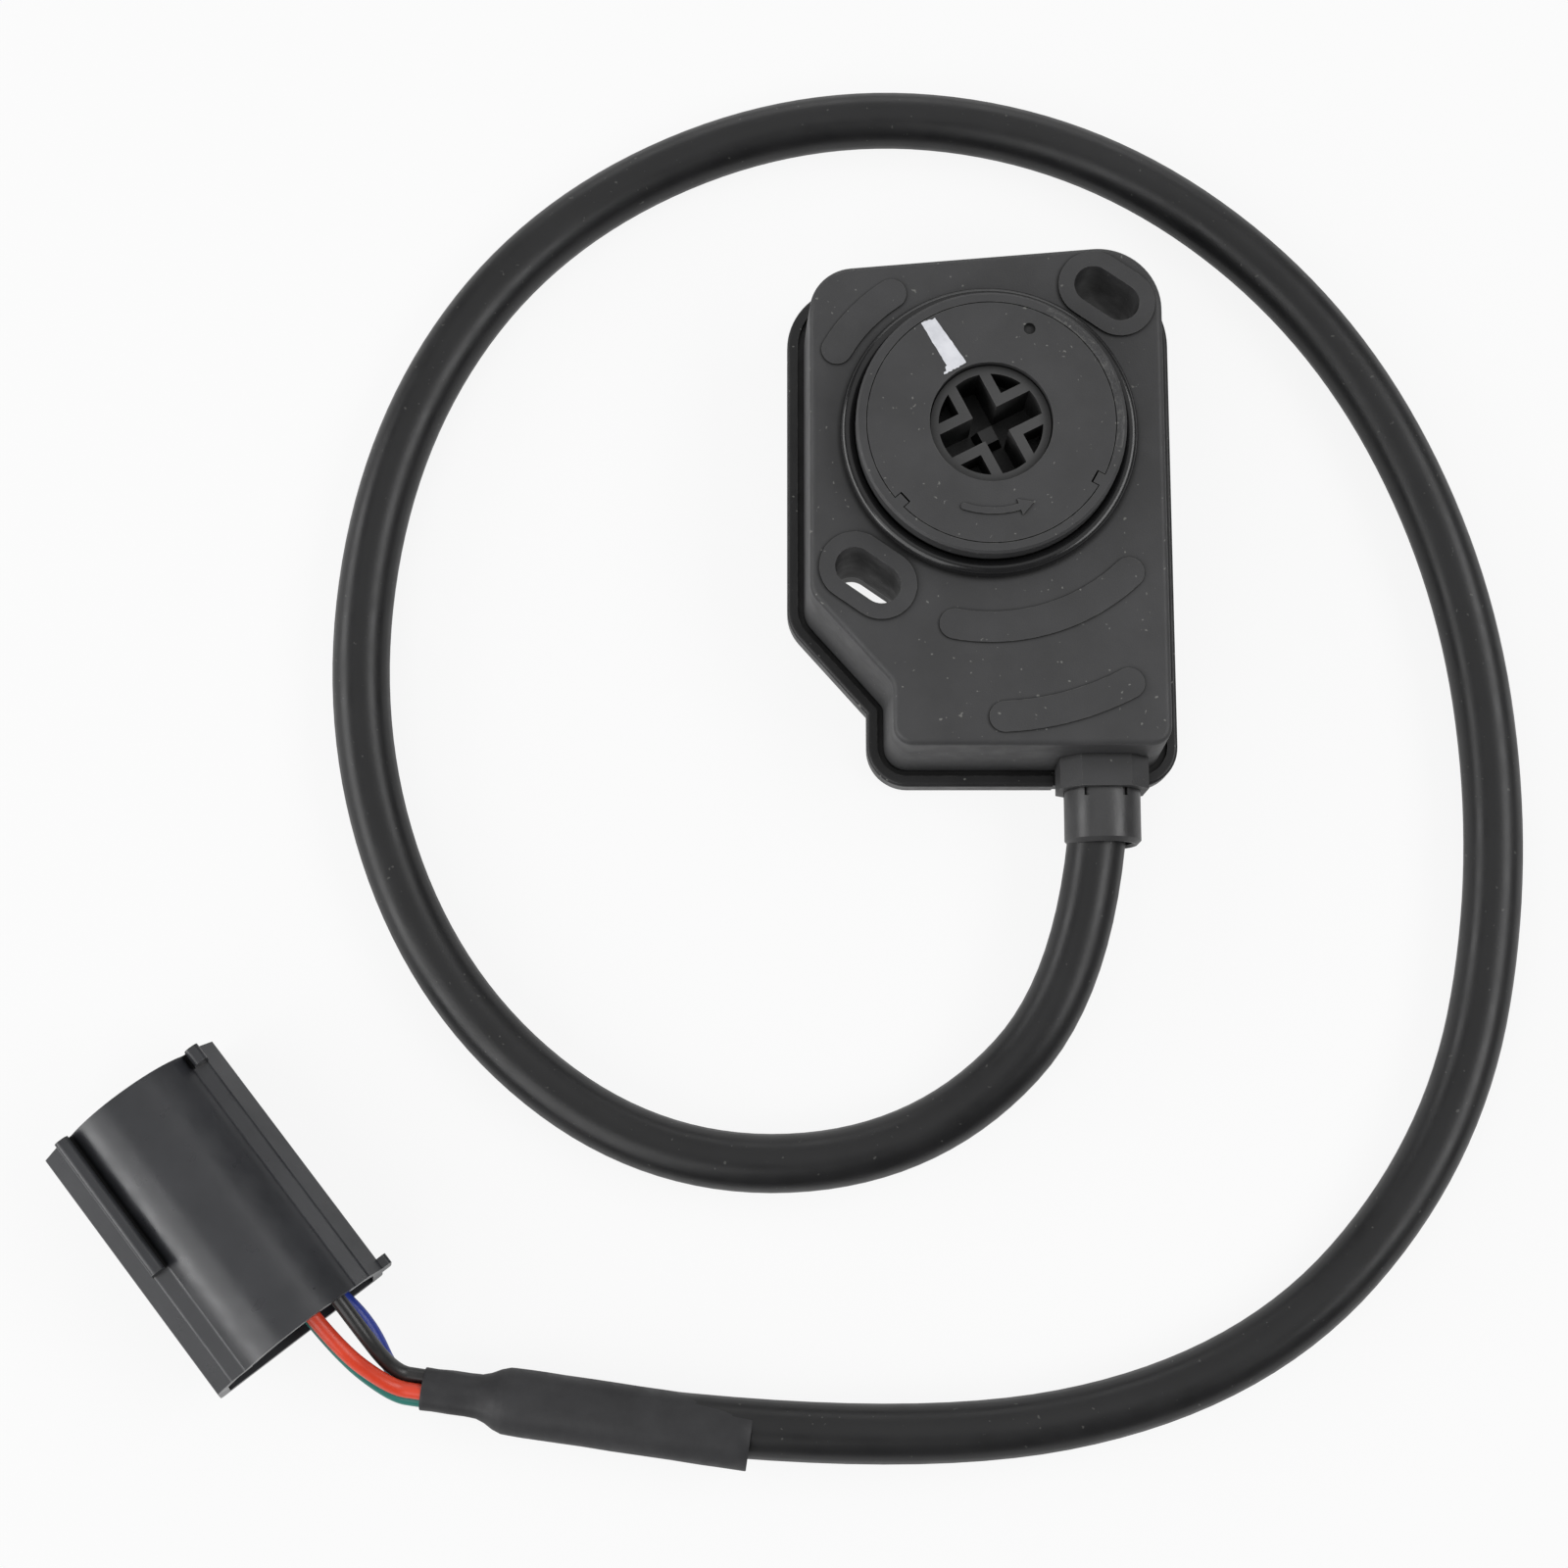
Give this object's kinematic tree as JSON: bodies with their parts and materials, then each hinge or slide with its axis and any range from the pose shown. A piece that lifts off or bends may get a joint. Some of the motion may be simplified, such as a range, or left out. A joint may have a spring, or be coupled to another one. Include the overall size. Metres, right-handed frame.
{
  "type": "accelerator pedal position sensor",
  "caption": "Accelerator pedal position sensor: slotted plastic housing with a round turret, a sprung rotor with a cross socket, and a sheathed lead to a plug.",
  "frame": {"origin": "on the rotor's axis, in the plane of the tray's underside", "axes": "+X across the housing, +Y away from the cable outlet, +Z along the rotor's axis out of the turret's face"},
  "size_m": [0.2014, 0.1954, 0.0253],
  "materials": {
    "charcoal_plastic": "moulded, faint grain",
    "tray_plastic": "moulded, satin",
    "rotor_plastic": "moulded, satin",
    "seal_rubber": "smooth",
    "cable_jacket": "smooth, soft sheen",
    "shrink_film": "matte",
    "red_insulation": "satin",
    "black_insulation": "satin",
    "blue_insulation": "satin",
    "green_insulation": "satin",
    "plug_plastic": "moulded, semi-gloss",
    "terminal_metal": "tinned",
    "spring_steel": "drawn",
    "board_laminate": "laminate"
  },
  "bodies": {
    "housing": {"housing": "charcoal_plastic", "base_tray": "tray_plastic", "tray_gasket": "seal_rubber", "face_disc": "charcoal_plastic", "turret_ring": "seal_rubber", "rotor_seal": "seal_rubber", "return_spring": "spring_steel", "track_board": "board_laminate", "board_screws": "spring_steel", "board_terminals": "terminal_metal", "inner_leads": "black_insulation", "cable_grommet": "seal_rubber", "cable_collar": "tray_plastic", "cable": "cable_jacket", "heat_shrink": "shrink_film", "wire_red": "red_insulation", "wire_black": "black_insulation", "wire_blue": "blue_insulation", "wire_green": "green_insulation", "connector_shell": "plug_plastic", "connector_pins": "terminal_metal"},
    "rotor": {"rotor": "rotor_plastic", "wiper_carrier": "tray_plastic", "wiper_contacts": "terminal_metal"}
  },
  "joints": [
    {"name": "rotor_turn", "type": "hinge", "parent": "housing", "child": "rotor", "pos_m": [0, 0, 0], "axis": [0, 0, 1], "range_deg": [0, 65], "stiffness_Nm_per_rad": 0.03, "springref_deg": -22.92, "deforming": ["return_spring"]}
  ]
}
